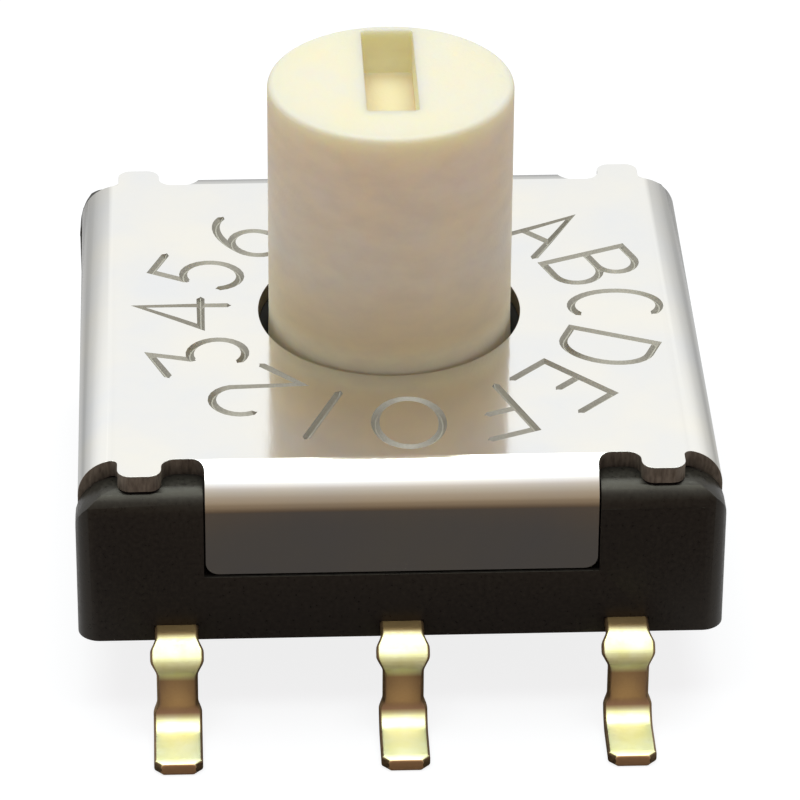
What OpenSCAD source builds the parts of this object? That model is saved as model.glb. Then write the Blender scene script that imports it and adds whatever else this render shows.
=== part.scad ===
// Sealed rotary coded switch: sixteen positions, surface mount, with a tall driver shaft.
// +Z runs up the shaft. The leads leave towards -Y and +Y. The undersides of the lead feet are z = 0.

/* [Housing] */
// Side of the square housing
body_w = 7.3; // [7.2:0.05:8]
// Height of the housing, from its underside to the top of the cover
body_h = 2.1; // [2.1:0.05:2.6]
// Height of the housing's underside over the circuit board
standoff = 0.95; // [0.7:0.05:1.4]
// Radius of the housing's upright corners
corner_r = 0.25; // [0.1:0.05:0.4]
// Thickness of the housing's floor
floor_t = 0.4; // [0.38:0.01:0.5]
// Thickness of the wall round the rotor, inside the cover
wall_t = 0.6; // [0.56:0.01:0.65]
// Depth of the sealed recess under the floor
recess_d = 0.15; // [0.1:0.01:0.17]
// Width of the rim round the sealed recess
recess_rim = 0.55; // [0.45:0.05:0.7]

/* [Cover] */
// Thickness of the cover's sheet
sheet_t = 0.2; // [0.15:0.01:0.25]
// Outer radius of the cover's bends
bend_r = 0.45; // [0.38:0.01:0.5]
// Height of the folded skirts, from the top of the cover down
skirt_h = 1.25; // [1:0.05:1.35]
// Width of the skirts over the leads
lead_skirt_w = 4.4; // [4:0.05:4.8]
// Width of the relief slot on each side of those skirts
relief_w = 0.48; // [0.3:0.02:0.6]
// Gap from the front of a corner tab to the face of the housing
tab_setback = 0.12; // [0.08:0.01:0.25]
// Radius of the slots' inner corners
relief_r = 0.1; // [0.05:0.01:0.14]
// Radius of the skirts' lower corners
skirt_corner_r = 0.15; // [0.05:0.01:0.3]
// Distance from the cover's faces back to the faces of the housing
cover_inset = 0.03; // [0.02:0.01:0.06]
// Gap between the skirts and the housing behind and below them
cover_gap = 0.02; // [0.01:0.01:0.04]
// Gap between the shaft and the edge of the cover's hole
hole_gap = 0.14; // [0.08:0.01:0.2]
// Width of the gasket under the cover
gasket_w = 0.15; // [0.1:0.01:0.18]
// Height of the gasket under the cover
gasket_h = 0.15; // [0.1:0.01:0.25]

/* [Shaft and rotor] */
// Diameter of the shaft
shaft_d = 2.82; // [2.7:0.02:2.9]
// Height of the shaft over the cover
shaft_h = 3.05; // [0.6:0.05:5]
// How far the shaft's foot under the cover flares out, as a slight taper; the real foot isn't known
seal_taper = 0.02; // [0.01:0.005:0.03]
// Height over the cover at which that taper ends
taper_rise = 0.03; // [0.02:0.01:0.1]
// Bevel round the top of the shaft
shaft_bevel = 0.06; // [0.02:0.01:0.12]
// Width of the driver slot
slot_w = 0.6; // [0.4:0.02:0.8]
// Depth of the driver slot
slot_d = 0.55; // [0.3:0.05:0.6]
// Reach of the slot from the axis, at its short end
slot_short = 0.72; // [0.5:0.02:1.1]
// Wall left between the slot's long end and the side of the shaft
slot_wall = 0.15; // [0.1:0.01:0.4]
// Gap round the rotor's flange
rotor_gap = 0.1; // [0.06:0.01:0.15]
// Height of the shoulder that carries the O-ring, over the flange
shoulder_h = 0.08; // [0.05:0.01:0.12]
// Diameter of the pivot under the rotor
pivot_d = 0.8; // [0.6:0.02:0.9]
// Radial clearance of the pivot in its bearing
pivot_gap = 0.02; // [0.015:0.005:0.05]
// Wall of the bearing round the pivot
bearing_wall = 0.2; // [0.15:0.01:0.22]
// Floor left under the pivot's bearing hole
bearing_floor = 0.08; // [0.06:0.01:0.12]
// Diameter of the O-ring's cord
o_ring_d = 0.45; // [0.35:0.01:0.5]
// Clearance where the O-ring and the contact tips touch
touch_gap = 0.01; // [0.005:0.005:0.02]

/* [Detent] */
// Number of switch positions
positions = 16; // [10, 16]
// Depth of the detent notches
notch_d = 0.12; // [0.08:0.01:0.16]
// Width of the detent notches
notch_w = 0.42; // [0.3:0.02:0.5]
// Thickness of the click spring
click_t = 0.1; // [0.08:0.01:0.12]
// Width of the click spring's arms
click_arm_w = 0.35; // [0.25:0.01:0.4]
// Length of the click spring's arms
click_arm_l = 1.15; // [0.95:0.05:1.15]
// Length of the arms' upturned tips
click_tip_l = 0.2; // [0.15:0.01:0.22]
// Width of the ledge that carries the rim of the click spring
click_ledge = 0.05; // [0.04:0.01:0.08]

/* [Code disc and contacts] */
// Thickness of the code disc
disc_t = 0.08; // [0.05:0.01:0.12]
// Metal left between the windows of two tracks
track_web = 0.09; // [0.06:0.01:0.12]
// Plastic left outside the code disc's tracks
disc_rim = 0.2; // [0.15:0.01:0.25]
// Plastic left inside the code disc's tracks, beyond the bearing
disc_hub = 0.13; // [0.08:0.01:0.16]
// Height of the code disc over the floor
disc_gap = 0.3; // [0.24:0.01:0.34]
// Thickness of the contact springs
contact_t = 0.06; // [0.04:0.01:0.08]
// Width of the contact springs
contact_w = 0.28; // [0.2:0.02:0.3]
// Length of the contact springs' arms
contact_l = 1; // [0.9:0.02:1.05]
// Length of the contact springs' tips, past the point that touches the disc
contact_tip_l = 0.13; // [0.1:0.01:0.13]
// Length of the pads that are welded to the terminals
contact_pad_l = 0.32; // [0.25:0.01:0.35]

/* [Leads] */
// Distance between neighbouring leads
lead_pitch = 2.54; // [2.5:0.01:2.6]
// Thickness of the leads
lead_t = 0.15; // [0.1:0.01:0.18]
// Height of the leads over the housing's underside
lead_lift = 0.05; // [0.04:0.01:0.07]
// Distance from the housing to the front of a lead's upright part
lead_out = 0.42; // [0.35:0.01:0.6]
// Reach of the feet beyond the housing
lead_reach = 1.3; // [1.1:0.05:1.8]
// Outer radius of the leads' bends
lead_bend_r = 0.24; // [0.2:0.01:0.3]
// Width of the feet
foot_w = 0.55; // [0.45:0.01:0.7]
// Width of the leads' upright part
neck_w = 0.46; // [0.35:0.01:0.55]
// Width of the leads at the upper bend
shoulder_w = 0.6; // [0.5:0.01:0.7]
// Width of the leads where they leave the housing
exit_w = 0.5; // [0.4:0.01:0.6]
// Width of the terminals inside the housing
strip_w = 0.4; // [0.35:0.01:0.45]

/* [Hidden] */
$fn = 64;
over = 1;                 // how far a cut runs past what it cuts

// Heights, from the board up
base_z = standoff;
cover_top = base_z + body_h;
cover_under = cover_top - sheet_t;
skirt_z = cover_top - skirt_h;
lead_z = base_z + lead_lift;
lead_top = lead_z + lead_t;
floor_z = base_z + floor_t;
disc_z = floor_z + disc_gap;
shoulder_top = cover_under - o_ring_d - 2 * touch_gap;
flange_top = shoulder_top - shoulder_h;
click_z = cover_under - click_t;
shaft_top = cover_top + shaft_h;
bearing_z = base_z + recess_d + bearing_floor;
bearing_gap = 0.05;       // under the flange, and under the pivot's end

// Distances from the axis
half = body_w / 2;
cover_out = half - cover_inset;
cover_in = cover_out - sheet_t;
bend_line = cover_out - bend_r;
tab_edge = half - tab_setback;
wall_out = cover_in - cover_gap;
cavity_r = wall_out - wall_t;
flange_r = cavity_r - rotor_gap;
shaft_r = shaft_d / 2;
seal_r = shaft_r + seal_taper;
hole_r = shaft_r + hole_gap;
shoulder_r = seal_r + o_ring_d + 0.05;
pivot_r = pivot_d / 2;
click_in = shoulder_r + 0.08;
click_out = cavity_r + click_ledge;
click_mid = (click_in + click_out) / 2 - 0.05;
gasket_in = click_out + 0.1;
gasket_out = gasket_in + gasket_w;

// Tracks of the code disc, 0 the outermost and the last the common ring
tracks = 5;
disc_in = pivot_r + pivot_gap + bearing_wall + disc_hub;
disc_out = flange_r - disc_rim;
track_pitch = (disc_out - track_web / 2 - disc_in) / tracks;
function track_r(i) = disc_in + (tracks - 1 - i + 1 / 2) * track_pitch;
step = 360 / positions;
bits = 4;
shown = positions / 2;    // the position set at rest, where the slot's long end points to +Y

// Terminals: name, value, side (-1 front, 1 back), column, track, angle of its contact from the
// Y axis, and whether its contact spring points to the outside or to the axis
TERMINALS = [
  ["1", 1, 1, 0, 55, true],
  ["2", 1, -1, 1, 55, true],
  ["4", -1, -1, 2, 48, false],
  ["8", -1, 1, 3, 53, false],
  ["common_front", -1, 0, 4, 0, false],
  ["common_back", 1, 0, 4, 0, false]
];
function term(i) = TERMINALS[i];
function side(t) = t[1];
function column(t) = t[2];
function tip_x(t) = column(t) * track_r(t[3]) * sin(t[4]);
function tip_y(t) = side(t) * track_r(t[3]) * cos(t[4]);
function heading(t) = t[5] ? side(t) : -side(t);
function root_y(t) = tip_y(t) - heading(t) * contact_l;

// Paths: round the corners of a path, then give it a thickness
function unit(v) = v / norm(v);
function turned(v, a) = [v[0] * cos(a) - v[1] * sin(a), v[0] * sin(a) + v[1] * cos(a)];
function crossed(a, b) = a[0] * b[1] - a[1] * b[0];
function arc_at(a, b, c, r, n) =
  let (u = unit(a - b), v = unit(c - b), h = acos(u * v) / 2,
       centre = b + unit(u + v) * r / sin(h), start = b + u * r / tan(h) - centre,
       sweep = (180 - 2 * h) * sign(crossed(b - a, c - b)))
  [for (i = [0:n]) centre + turned(start, sweep * i / n)];
function rounded(p, r, n = 6) = [
  p[0],
  for (i = [1:len(p) - 2]) each arc_at(p[i - 1], p[i], p[i + 1], r, n),
  p[len(p) - 1]
];
function normal_at(p, i) =
  let (last = len(p) - 1, a = unit(p[min(i + 1, last)] - p[min(i, last - 1)]),
       b = unit(p[max(i, 1)] - p[max(i - 1, 0)]), m = unit(a + b))
  [-m[1], m[0]] / (m * a);
function band(p, t) = concat(
  [for (i = [0:len(p) - 1]) p[i] + normal_at(p, i) * t / 2],
  [for (i = [len(p) - 1:-1:0]) p[i] - normal_at(p, i) * t / 2]
);

// A strip that follows a path in the YZ plane, w wide along X
module strip(p, t, w)
  rotate([90, 0, 90]) translate([0, 0, -w / 2]) linear_extrude(w) polygon(band(p, t));

module box_at(x, y, z, size) translate([x - size[0] / 2, y - size[1] / 2, z]) cube(size);

module ring(r_out, r_in, z, h)
  translate([0, 0, z]) difference() {
    cylinder(r = r_out, h = h, $fn = 128);
    translate([0, 0, -over]) cylinder(r = r_in, h = h + 2 * over, $fn = 128);
  }

module rounded_square(w, r) {
  square([w - 2 * r, w], center = true);
  square([w, w - 2 * r], center = true);
  for (x = [-1, 1], y = [-1, 1]) translate([x, y] * (w / 2 - r)) circle(r);
}

// Side skirts are as long as the plate between the bends of the other two
side_skirt_w = 2 * bend_line;

module skirt_pocket(w) {
  pocket_z = skirt_z - cover_gap;
  chamfer = wall_out - bend_line;   // clears the inside of the bend
  rotate([90, 0, 90]) translate([0, 0, -w / 2 - cover_gap]) linear_extrude(w + 2 * cover_gap)
    polygon([
      [wall_out, pocket_z], [half + over, pocket_z], [half + over, cover_under + over],
      [wall_out - chamfer, cover_under + over], [wall_out - chamfer, cover_under],
      [wall_out, cover_under - chamfer]
    ]);
}

module recess(h)
  linear_extrude(h) square(2 * (half - recess_rim), center = true);

// The well over a terminal's pad, long enough for the spring to rise out of it
well_gap = 0.04;
well_run = contact_l * 0.6;
module well(t) {
  length = contact_pad_l + well_run + well_gap;
  middle = root_y(t) + heading(t) * (well_run - contact_pad_l - well_gap) / 2;
  box_at(tip_x(t), middle, lead_top, [contact_w + 2 * well_gap, length, floor_t + over]);
}

module base() {
  color([0.12, 0.12, 0.11]) difference() {
    union() {
      difference() {
        translate([0, 0, base_z]) linear_extrude(cover_under - base_z)
          rounded_square(body_w, corner_r);
        translate([0, 0, floor_z]) cylinder(r = cavity_r, h = body_h, $fn = 128);
        translate([0, 0, click_z]) cylinder(r = click_out + cover_gap, h = body_h, $fn = 128);
        ring(gasket_out, gasket_in, cover_under - gasket_h, gasket_h + over);
      }
      translate([0, 0, floor_z - 0.05])
        cylinder(r = pivot_r + pivot_gap + bearing_wall, h = disc_z - bearing_gap - floor_z + 0.05);
    }
    translate([0, 0, bearing_z]) cylinder(r = pivot_r + pivot_gap, h = body_h);
    for (a = [0, 180]) rotate([0, 0, a]) skirt_pocket(lead_skirt_w);
    for (a = [90, 270]) rotate([0, 0, a]) skirt_pocket(side_skirt_w);
    translate([0, 0, base_z - over]) recess(recess_d + over);
    for (t = TERMINALS) {
      terminal(t);
      well(t);
    }
  }
}

// Plate of the cover: four corner tabs stand out between the skirts' relief slots
module cover_plan() {
  tab_in = lead_skirt_w / 2 + relief_w;
  relief_d = tab_edge - bend_line;
  difference() {
    square([2 * bend_line, 2 * tab_edge], center = true);
    for (s = [-1, 1]) scale([1, s]) translate([0, bend_line]) {
      translate([-tab_in, relief_r]) square([2 * tab_in, relief_d]);
      translate([relief_r - tab_in, 0]) square([2 * (tab_in - relief_r), relief_d]);
      for (x = [-1, 1]) translate([x * (tab_in - relief_r), relief_r]) circle(relief_r, $fn = 32);
    }
    circle(hole_r, $fn = 128);
  }
}

// One folded skirt on the +Y side, w wide, with its lower corners rounded
module skirt(w) {
  lower = skirt_z + skirt_corner_r;
  path = rounded([
    [bend_line, cover_top - sheet_t / 2],
    [cover_out - sheet_t / 2, cover_top - sheet_t / 2],
    [cover_out - sheet_t / 2, skirt_z]
  ], bend_r - sheet_t / 2 - 0.001, 12);
  intersection() {
    strip(path, sheet_t, w);
    rotate([90, 0, 0]) translate([0, 0, -half - over]) linear_extrude(half + over) {
      translate([-w / 2, lower]) square([w, skirt_h]);
      translate([skirt_corner_r - w / 2, skirt_z]) square([w - 2 * skirt_corner_r, skirt_h]);
      for (x = [-1, 1]) translate([x * (w / 2 - skirt_corner_r), lower]) circle(skirt_corner_r);
    }
  }
}

module cover() {
  color([0.93, 0.92, 0.9]) {
    translate([0, 0, cover_under]) linear_extrude(sheet_t) cover_plan();
    for (a = [0, 180]) rotate([0, 0, a]) skirt(lead_skirt_w);
    for (a = [90, 270]) rotate([0, 0, a]) skirt(side_skirt_w);
  }
}

module cover_gasket()
  color([0.2, 0.2, 0.2]) ring(gasket_out, gasket_in, cover_under - gasket_h, gasket_h);

module bottom_seal() {
  sunk = 0.02;
  color([0.1, 0.1, 0.12]) difference() {
    translate([0, 0, base_z + sunk]) recess(recess_d - sunk);
    for (t = TERMINALS) terminal(t);
  }
}

// V notches across the top of the flange, one for each position
module notches()
  for (i = [0:positions - 1]) rotate([0, 0, i * step]) translate([shoulder_r, 0, flange_top])
    rotate([90, 0, 90]) linear_extrude(flange_r)
      polygon([[-notch_w, notch_d], [0, -notch_d], [notch_w, notch_d]]);

module rotor() {
  slot_long = shaft_r - slot_wall;
  color([0.93, 0.91, 0.82]) difference() {
    union() {
      translate([0, 0, bearing_z + bearing_gap])
        cylinder(r = pivot_r, h = flange_top - bearing_z - bearing_gap);
      difference() {
        translate([0, 0, disc_z]) cylinder(r = flange_r, h = flange_top - disc_z, $fn = 128);
        notches();
      }
      rotate_extrude($fn = 128) polygon([
        [0, disc_z], [shoulder_r, disc_z], [shoulder_r, shoulder_top], [seal_r, shoulder_top],
        [shaft_r, cover_top + taper_rise], [shaft_r, shaft_top - shaft_bevel],
        [shaft_r - shaft_bevel, shaft_top], [0, shaft_top]
      ]);
    }
    translate([-slot_w / 2, -slot_short, shaft_top - slot_d])
      cube([slot_w, slot_short + slot_long, slot_d + over]);
    code_disc();
  }
}

// Windows of one bit's track: one for each run of positions at which the bit is off
module windows(bit) {
  t = TERMINALS[bit];
  run = pow(2, bit);
  contact_angle = atan2(tip_y(t), tip_x(t));
  track = track_r(t[3]);
  land = 3;               // degrees of metal kept past the middle between two positions
  for (first = [0:2 * run:positions - 1])
    rotate([0, 0, contact_angle + (first - shown - 0.5) * step + land / 2])
      rotate_extrude(angle = run * step - land, $fn = 128)
        translate([track - (track_pitch - track_web) / 2, -over])
          square([track_pitch - track_web, disc_t + 2 * over]);
}

module code_disc()
  color([0.88, 0.74, 0.36]) translate([0, 0, disc_z]) difference() {
    ring(disc_out, disc_in, 0, disc_t);
    for (bit = [0:bits - 1]) windows(bit);
  }

module o_ring()
  color([0.12, 0.12, 0.12]) translate([0, 0, cover_under - touch_gap - o_ring_d / 2])
    rotate_extrude($fn = 96) translate([seal_r + touch_gap + o_ring_d / 2, 0])
      circle(d = o_ring_d, $fn = 32);

// Arm of the click spring, from its root in the ring down to the nose that sits in a notch
module click_arm() {
  nose_z = flange_top - notch_d / 2 + click_t / 2;
  ring_mid = click_z + click_t / 2;
  root_l = click_t;
  path = rounded([
    [-click_arm_l - root_l, ring_mid], [-click_arm_l, ring_mid],
    [0, nose_z - click_t / 5], [click_tip_l, nose_z + click_tip_l * 2 / 3]
  ], click_t * 0.9);
  translate([click_mid, 0, 0]) strip(path, click_t, click_arm_w);
}

module click_spring() {
  room = 0.1;             // between an arm and the edges of its window
  color([0.8, 0.8, 0.82]) {
    difference() {
      ring(click_out, click_in, click_z, click_t);
      for (a = [0, 180]) rotate([0, 0, a])
        translate([click_mid - (click_arm_w + room) / 2, -click_arm_l, click_z - over])
          cube([click_arm_w + room, click_arm_l + click_tip_l + room, click_t + 2 * over]);
    }
    for (a = [0, 180]) rotate([0, 0, a]) click_arm();
  }
}

// Lead of a terminal, as it leaves the -Y face: out, down over a rounded shoulder, out to its foot
module lead() {
  mid_z = lead_z + lead_t / 2;
  upright = half + lead_out - lead_t / 2;
  path = rounded([
    [strip_w - half, mid_z], [-upright, mid_z],
    [-upright, lead_t / 2], [-half - lead_reach, lead_t / 2]
  ], lead_bend_r - lead_t / 2);
  neck_top = lead_z - lead_bend_r * 0.5;
  foot_end = 0.06;
  difference() {
    strip(path, lead_t, shoulder_w);
    for (x = [-1, 1]) {
      box_at(x * (neck_w + over) / 2, -half - lead_out, lead_t + foot_end,
             [over, 2 * lead_out, neck_top - lead_t - foot_end]);
      box_at(x * (foot_w + over) / 2, -half - lead_reach, -over,
             [over, 2 * (lead_reach - lead_out + lead_bend_r), over + lead_t + foot_end]);
      box_at(x * (exit_w + over) / 2, -half, lead_z - over,
             [over, 2 * (lead_out - lead_bend_r), 2 * over + lead_t]);
    }
  }
}

// The flat part inside the housing, from the wall to the pad under the contact spring
module inner_strip(t) {
  x = column(t) * lead_pitch;
  far_y = root_y(t) - heading(t) * (contact_pad_l + 0.04);
  near_y = root_y(t) + heading(t) * 0.04;
  edge_y = side(t) * (half - 0.1);
  reach_y = side(t) > 0 ? min(far_y, near_y) : max(far_y, near_y);
  translate([x - strip_w / 2, min(edge_y, reach_y), lead_z])
    cube([strip_w, abs(edge_y - reach_y), lead_t]);
  left = min(x, tip_x(t)) - strip_w / 2;
  translate([left, min(far_y, near_y), lead_z])
    cube([abs(x - tip_x(t)) + strip_w, abs(far_y - near_y), lead_t]);
}

module terminal(t)
  color([0.9, 0.76, 0.38]) {
    translate([column(t) * lead_pitch, 0, 0]) scale([1, -side(t), 1]) lead();
    inner_strip(t);
  }

// Contact spring: a welded pad, an arm that rises out of its well, and a curved tip on its track
module contact(t) {
  low = lead_top + contact_t / 2;
  high = disc_z - touch_gap - contact_t / 2;
  path = rounded([
    [-contact_pad_l, low], [0, low],
    [contact_l, high + contact_t / 3], [contact_l + contact_tip_l, high - contact_t]
  ], contact_t * 1.4);
  color([0.9, 0.78, 0.45]) translate([tip_x(t), root_y(t), 0]) scale([1, heading(t), 1])
    strip(path, contact_t, contact_w);
}

base();
cover();
cover_gasket();
bottom_seal();
rotor();
code_disc();
o_ring();
click_spring();
for (t = TERMINALS) {
  terminal(t);
  contact(t);
}
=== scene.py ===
import math

import bmesh
import bpy
import numpy as np
from mathutils import Matrix, Vector
from mathutils.geometry import delaunay_2d_cdt


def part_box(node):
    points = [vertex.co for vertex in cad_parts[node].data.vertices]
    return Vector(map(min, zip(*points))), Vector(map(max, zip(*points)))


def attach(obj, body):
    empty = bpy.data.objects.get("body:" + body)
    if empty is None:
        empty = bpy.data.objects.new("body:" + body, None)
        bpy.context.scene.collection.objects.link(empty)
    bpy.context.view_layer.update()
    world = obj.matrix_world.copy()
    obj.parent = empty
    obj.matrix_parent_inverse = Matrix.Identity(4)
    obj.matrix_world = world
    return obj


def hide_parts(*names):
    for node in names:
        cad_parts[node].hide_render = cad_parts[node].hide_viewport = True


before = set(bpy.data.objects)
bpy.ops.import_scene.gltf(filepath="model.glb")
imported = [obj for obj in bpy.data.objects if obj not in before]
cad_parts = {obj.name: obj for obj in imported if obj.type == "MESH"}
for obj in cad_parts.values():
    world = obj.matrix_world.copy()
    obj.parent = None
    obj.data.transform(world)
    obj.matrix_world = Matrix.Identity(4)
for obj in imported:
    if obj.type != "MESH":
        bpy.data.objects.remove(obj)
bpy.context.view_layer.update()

# ---------------------------------------------------------------- Base
# The base is one moulding of black glass-filled plastic: a square box with four corner posts,
# between which the cover's skirts lie in shallow pockets. The rotor turns in its round well.

MM = 0.001                # sizes below are in millimetres


def node_box(node):
    """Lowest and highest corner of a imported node, in millimetres."""
    return [np.array(corner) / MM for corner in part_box(node)]


def rounded_outline(corners, radii, steps=8):
    """Outline through corners (n, 2), each replaced by an arc of its radius: the arc starts and
    ends at r / tan(h) from the corner, where h is half of the angle between its two sides."""
    corners = np.asarray(corners, float)
    radii = np.broadcast_to(np.asarray(radii, float), len(corners))
    to_last = np.roll(corners, 1, 0) - corners
    to_next = np.roll(corners, -1, 0) - corners
    to_last /= np.linalg.norm(to_last, axis=1)[:, None]
    to_next /= np.linalg.norm(to_next, axis=1)[:, None]
    half_angle = np.arccos(np.clip((to_last * to_next).sum(1), -1, 1)) / 2
    middle = to_last + to_next
    middle /= np.linalg.norm(middle, axis=1)[:, None]
    centre = corners + middle * (radii / np.sin(half_angle))[:, None]
    start = corners + to_last * (radii / np.tan(half_angle))[:, None] - centre
    crossed = to_last[:, 1] * to_next[:, 0] - to_last[:, 0] * to_next[:, 1]
    turn = np.sign(crossed) * (math.pi - 2 * half_angle)
    angle = turn[:, None] * np.linspace(0, 1, steps + 1)[None, :]
    x = start[:, :1] * np.cos(angle) - start[:, 1:] * np.sin(angle)
    y = start[:, :1] * np.sin(angle) + start[:, 1:] * np.cos(angle)
    return (centre[:, None, :] + np.stack([x, y], 2)).reshape(-1, 2)


def circle_outline(radius, steps=96):
    """Points at equal angles round the axis."""
    angle = np.linspace(0, 2 * math.pi, steps, endpoint=False)
    return radius * np.column_stack([np.cos(angle), np.sin(angle)])


def box_outline(centre, size):
    """The four corners of a rectangle, counter-clockwise."""
    to_corner = np.array([[-1, -1], [1, -1], [1, 1], [-1, 1]])
    return np.asarray(centre) + to_corner * np.asarray(size) / 2


def new_piece(name, points, faces):
    """A mesh object made of points in millimetres and faces that list them."""
    mesh = bpy.data.meshes.new(name)
    mesh.from_pydata((np.asarray(points) * MM).tolist(), [], [list(map(int, f)) for f in faces])
    mesh.validate()
    piece = bpy.data.objects.new(name, mesh)
    bpy.context.scene.collection.objects.link(piece)
    return piece


def prism(name, outline, low, high, turn=None):
    """A counter-clockwise outline raised from low to high along Z, then turned by a matrix."""
    n = len(outline)
    points = np.vstack([np.column_stack([outline, np.full(n, z)]) for z in (low, high)])
    if turn is not None:
        points = points @ np.asarray(turn, float).T
    i = np.arange(n)
    j = (i + 1) % n
    sides = np.column_stack([i, j, j + n, i + n])
    return new_piece(name, points, [i[::-1], i + n, *sides])


def apply_modifiers(piece):
    """Gives the piece the mesh that its modifiers make, and takes them off."""
    shown = piece.evaluated_get(bpy.context.evaluated_depsgraph_get())
    made = bpy.data.meshes.new_from_object(shown)
    piece.modifiers.clear()
    piece.data = made
    return piece


def carve(piece, tool, operation="DIFFERENCE", crosses_itself=False):
    """Cuts the tool's solid out of the piece, or joins it on, and removes the tool."""
    cut = piece.modifiers.new(operation.lower(), "BOOLEAN")
    cut.operation = operation
    cut.solver = "EXACT"
    cut.use_self = crosses_itself
    cut.object = tool
    apply_modifiers(piece)
    bpy.data.objects.remove(tool)
    return piece


def round_edges(piece, width, segments=3, sharper_than=40, share=None):
    """Rounds every edge that turns by more than the angle, over a width in millimetres. share gives
    the part of the width that an edge takes, from its middle point in millimetres."""
    edge = piece.modifiers.new("rounding", "BEVEL")
    edge.width = width * MM
    edge.segments = segments
    edge.limit_method = "ANGLE"
    edge.angle_limit = math.radians(sharper_than)
    edge.miter_outer = "MITER_ARC"
    if share is not None:
        edge.limit_method = "WEIGHT"
        edges = bmesh.new()
        edges.from_mesh(piece.data)
        weight = edges.edges.layers.float.new("bevel_weight_edge")
        for e in edges.edges:
            if e.calc_face_angle(0) > edge.angle_limit:
                e[weight] = share(*((e.verts[0].co + e.verts[1].co) / (2 * MM)))
        edges.to_mesh(piece.data)
        edges.free()
    return apply_modifiers(piece)


def shade_smooth(piece, sharper_than=35):
    """Smooth shading that leans on the large faces and stops at sharp edges."""
    mesh = piece.data
    mesh.polygons.foreach_set("use_smooth", np.ones(len(mesh.polygons), bool))
    mesh.set_sharp_from_angle(angle=math.radians(sharper_than))
    normals = piece.modifiers.new("normals", "WEIGHTED_NORMAL")
    normals.keep_sharp = True
    return piece


def node_adder(tree):
    """A function that adds a shader node to the tree: inputs maps sockets to values or links."""
    def add(kind, inputs=(), **settings):
        node = tree.nodes.new("ShaderNode" + kind)
        for key, value in settings.items():
            setattr(node, key, value)
        for socket, value in dict(inputs).items():
            if isinstance(value, bpy.types.NodeSocket):
                tree.links.new(value, node.inputs[socket])
            else:
                node.inputs[socket].default_value = value
        return node

    return add


def new_material(name, **shader_values):
    """A node material with one Principled shader. Returns it, with a function that adds nodes and
    one that connects an output to the shader."""
    material = bpy.data.materials.new(name)
    material.use_nodes = True
    shader = material.node_tree.nodes["Principled BSDF"]
    for socket, value in shader_values.items():
        shader.inputs[socket.replace("_", " ")].default_value = value

    def connect(output, socket):
        material.node_tree.links.new(output, shader.inputs[socket])

    return material, node_adder(material.node_tree), connect


def noise(add, size, detail=3.0, stretch=(1, 1, 1)):
    """Noise on object coordinates whose grains are about size millimetres, longer where stretch is
    more than 1."""
    place = add("Mapping", {
        "Vector": add("TexCoord").outputs["Object"],
        "Scale": [1 / (size * MM * s) for s in stretch],
    })
    return add("TexNoise", {"Vector": place.outputs[0], "Scale": 1.0, "Detail": detail}).outputs[0]


def blend_colours(add, share, first, second):
    """The first colour where the share is 0 and the second where it is 1."""
    mixed = add("Mix", data_type="RGBA")
    for socket, value in zip((0, 6, 7), (share, first, second)):
        if isinstance(value, bpy.types.NodeSocket):
            mixed.id_data.links.new(value, mixed.inputs[socket])
        else:
            mixed.inputs[socket].default_value = (*value, 1)
    return mixed.outputs[2]


def ramp(add, value, low, high, from_low=0.3, from_high=0.7):
    """A number or colour that goes from low to high as the value goes from from_low to
    from_high."""
    if isinstance(low, tuple):
        return blend_colours(add, ramp(add, value, 0.0, 1.0, from_low, from_high), low, high)
    return add("MapRange", {0: value, 1: from_low, 2: from_high, 3: low, 4: high}).outputs[0]


def bump(add, height, depth, strength=1.0):
    """Relief whose full height is depth millimetres."""
    return add("Bump", {"Height": height, "Distance": depth * MM, "Strength": strength}).outputs[0]


base_low, base_high = node_box("base")
half = base_high[0]                     # from the axis to each outer face
base_z = base_low[2]
under_cover = base_high[2]
standing_corner = 0.25                  # radius of the upright corners
post_tops = (0.5, 0.26)                 # rounding towards the sides, and to the front and back
broken_edge = 0.035
pocket_depth = 0.25                     # from the face back to the wall behind a skirt
pocket_chamfer = 0.23                   # clears the inside of a bend
skirt_w = 4.4                           # the skirts over the leads
side_skirt_w = 6.34
slip = 0.02                             # gap round the skirts
cover_low, cover_high = node_box("cover")
skirt_z = cover_low[2]
floor_top = base_z + 0.4                # the floor that the leads are moulded into
recess_top = base_z + 0.15              # the recess underneath holds the resin
recess_half = half - 0.55
cavity_r = 2.8
gasket_w = 0.15
ledge_d = 0.1                           # the click spring's ring lies on it
bearing_r = 0.62
bearing_hole_r = 0.42
bearing_h = 0.25
bearing_floor = recess_top + 0.08
past = 1.0                              # how far a cut runs past what it cuts

outer = rounded_outline(box_outline((0, 0), (2 * half, 2 * half)), standing_corner, 10)
base = prism("base_moulding", outer, base_z, under_cover)
wall = half - pocket_depth
pocket = [
    [wall, skirt_z - slip], [half + past, skirt_z - slip], [half + past, under_cover + past],
    [wall - pocket_chamfer, under_cover + past], [wall - pocket_chamfer, under_cover],
    [wall, under_cover - pocket_chamfer],
]
# A profile in (outwards, up) is stood up towards +X, and swung from there to each of the sides
stand_up = Matrix(((1, 0, 0), (0, 0, -1), (0, 1, 0)))
swings = [Matrix.Rotation(quarter * math.pi / 2, 3, "Z") @ stand_up for quarter in range(4)]
for swing, width in zip(swings, 2 * (side_skirt_w, skirt_w)):
    reach = width / 2 + slip
    carve(base, prism("pocket", pocket, -reach, reach, swing))
for swing, r in zip(swings, 2 * post_tops):
    curve = np.radians(np.linspace(90, 0, 9))[:-1]
    over_edge = np.vstack([
        [[half, under_cover - r], [half + past, under_cover - r],
         [half + past, under_cover + past], [half - r, under_cover + past]],
        np.column_stack([half - r + r * np.cos(curve), under_cover - r + r * np.sin(curve)])])
    carve(base, prism("edge", over_edge, -half - past, half + past, swing))
carve(base, prism("recess", box_outline((0, 0), (2 * recess_half, 2 * recess_half)),
                  base_z - past, recess_top))
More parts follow.
